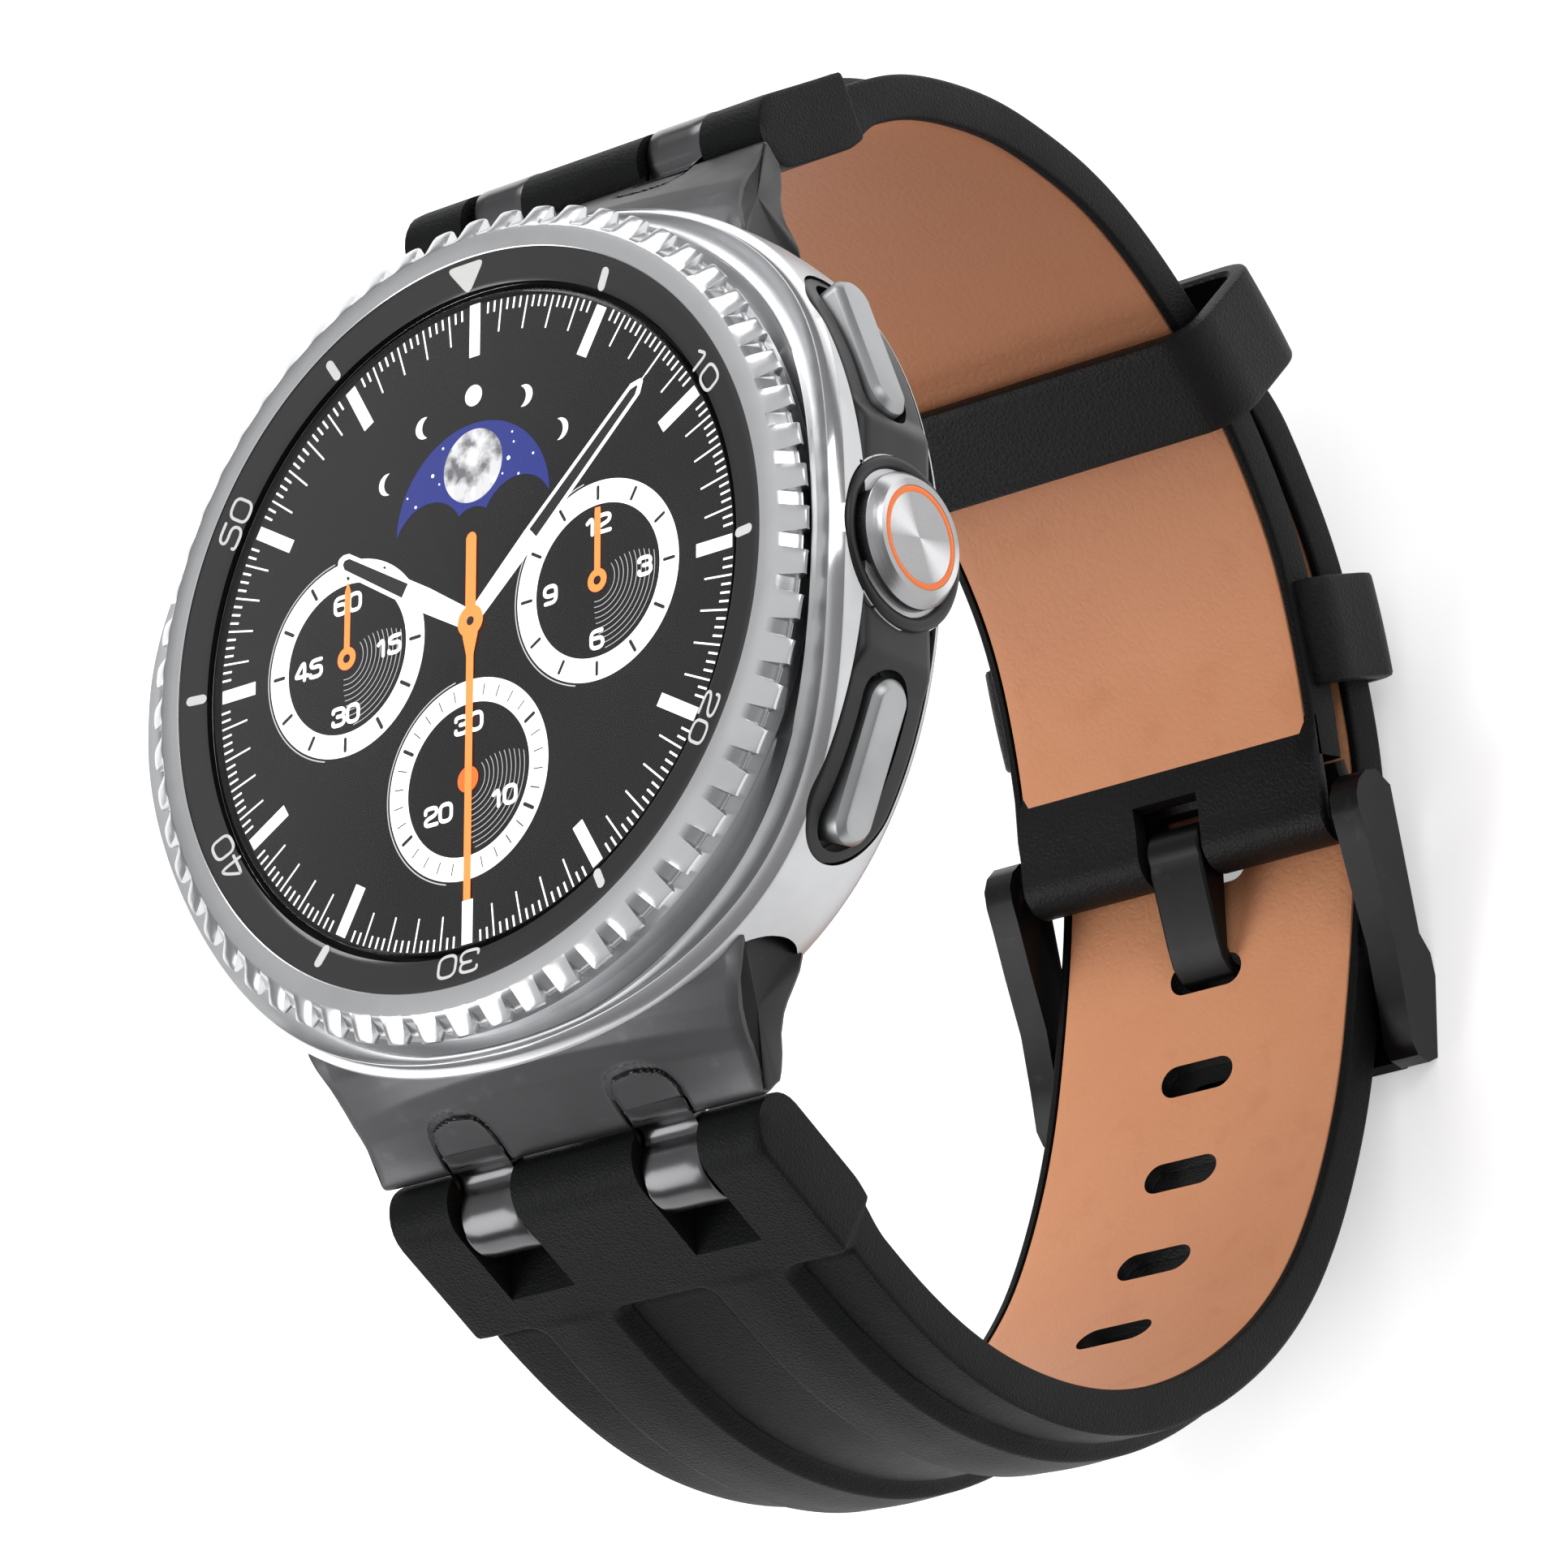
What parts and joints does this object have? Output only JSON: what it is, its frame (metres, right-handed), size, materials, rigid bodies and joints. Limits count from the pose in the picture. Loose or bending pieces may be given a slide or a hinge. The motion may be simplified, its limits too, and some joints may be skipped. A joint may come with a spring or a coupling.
{
  "type": "smartwatch",
  "caption": "Round smartwatch with a rotating ribbed bezel, guarded side buttons and a padded leather strap closed by a pin buckle.",
  "frame": {"origin": "centre of the buckle's flat underside, the lowest point of the closed watch", "axes": "+Z out of the dial, +Y towards 12 o'clock, +X towards the buttons at 3 o'clock"},
  "size_m": [0.0469, 0.071, 0.0644],
  "materials": {
    "satin_metal": "satin grey-silver titanium-look metal",
    "button_metal": "satin metal, polished edge",
    "bezel_black": "gloss black ceramic-look insert",
    "accent_orange": "orange inlay",
    "guard_black": "satin black coating",
    "link_black": "bead-blasted black",
    "pin_steel": "plain steel",
    "black_leather": "fine grained black leather",
    "tan_leather": "pebbled tan lining",
    "cover_glass": "clear sapphire-look cover",
    "display": "display panel",
    "inner_plastic": "moulded frame",
    "inner_metal": "plain",
    "board_green": "circuit board",
    "seal_rubber": "soft seal",
    "coil_copper": "wound wire",
    "ferrite": "ferrite film",
    "back_ceramic": "gloss dark back",
    "sensor_glass": "dark sensor lens"
  },
  "bodies": {
    "watch": {"back_gasket": "seal_rubber", "back_screws": "pin_steel", "battery": "inner_metal", "bezel_click_ring": "pin_steel", "buckle_bar": "pin_steel", "case_back": "back_ceramic", "case_body": "satin_metal", "charging_coil": "coil_copper", "display_cover": "cover_glass", "display_frame": "inner_metal", "display_gasket": "seal_rubber", "display_panel": "display", "end_link_lower": "link_black", "end_link_upper": "link_black", "ferrite_sheet": "ferrite", "guard_housing": "guard_black", "inner_cradle": "inner_plastic", "keeper_fixed": "black_leather", "main_board": "board_green", "sensor_board": "board_green", "sensor_window": "sensor_glass", "shield_cans": "inner_metal", "side_flex": "inner_plastic", "side_switches": "inner_metal", "speaker": "inner_plastic", "strap_bar_lower": "pin_steel", "strap_bar_upper": "pin_steel", "strap_fold": "black_leather", "strap_hooks_lower": "link_black", "strap_hooks_upper": "link_black", "strap_long_leather": "black_leather", "strap_long_lining": "tan_leather", "strap_short_leather": "black_leather", "strap_short_lining": "tan_leather", "vibration_motor": "inner_metal"},
    "bezel": {"bezel_ring": "satin_metal", "bezel_insert": "bezel_black"},
    "home_button": {"pusher_home": "button_metal", "home_clip": "pin_steel"},
    "back_button": {"pusher_back": "button_metal", "back_clip": "pin_steel"},
    "crown": {"crown_button": "button_metal", "crown_ring": "accent_orange", "crown_clip": "pin_steel"},
    "buckle": {"buckle_frame": "link_black"},
    "tongue": {"buckle_tongue": "link_black"},
    "keeper": {"keeper_floating": "black_leather"},
    "release_upper": {"release_button_upper": "link_black"},
    "release_lower": {"release_button_lower": "link_black"}
  },
  "joints": [
    {"name": "bezel_turn", "type": "hinge", "parent": "watch", "child": "bezel", "pos_m": [0, 0.0066, 0.0637], "axis": [0, 0, 1], "continuous": true},
    {"name": "crown_press", "type": "slide", "parent": "watch", "child": "crown", "axis": [-1, 0, 0], "range_m": [0, 0.0007], "stiffness_N_per_m": 600},
    {"name": "home_press", "type": "slide", "parent": "watch", "child": "home_button", "axis": [-0.9397, -0.342, 0], "range_m": [0, 0.0007], "stiffness_N_per_m": 600},
    {"name": "back_press", "type": "slide", "parent": "watch", "child": "back_button", "axis": [-0.9397, 0.342, 0], "range_m": [0, 0.0007], "stiffness_N_per_m": 600},
    {"name": "buckle_swing", "type": "hinge", "parent": "watch", "child": "buckle", "pos_m": [0, 0.0105, 0.005], "axis": [1, 0, 0], "range_deg": [0, 20]},
    {"name": "tongue_lift", "type": "hinge", "parent": "watch", "child": "tongue", "pos_m": [0, 0.0105, 0.005], "axis": [-1, 0, 0], "range_deg": [0, 60]},
    {"name": "keeper_slide", "type": "slide", "parent": "watch", "child": "keeper", "axis": [0, 0.6718, 0.7408], "range_m": [-0.003, 0.003]},
    {"name": "release_upper_press", "type": "slide", "parent": "watch", "child": "release_upper", "axis": [0, 0, 1], "range_m": [0, 0.0007], "stiffness_N_per_m": 600},
    {"name": "release_lower_press", "type": "slide", "parent": "watch", "child": "release_lower", "axis": [0, 0, 1], "range_m": [0, 0.0007], "stiffness_N_per_m": 600}
  ]
}
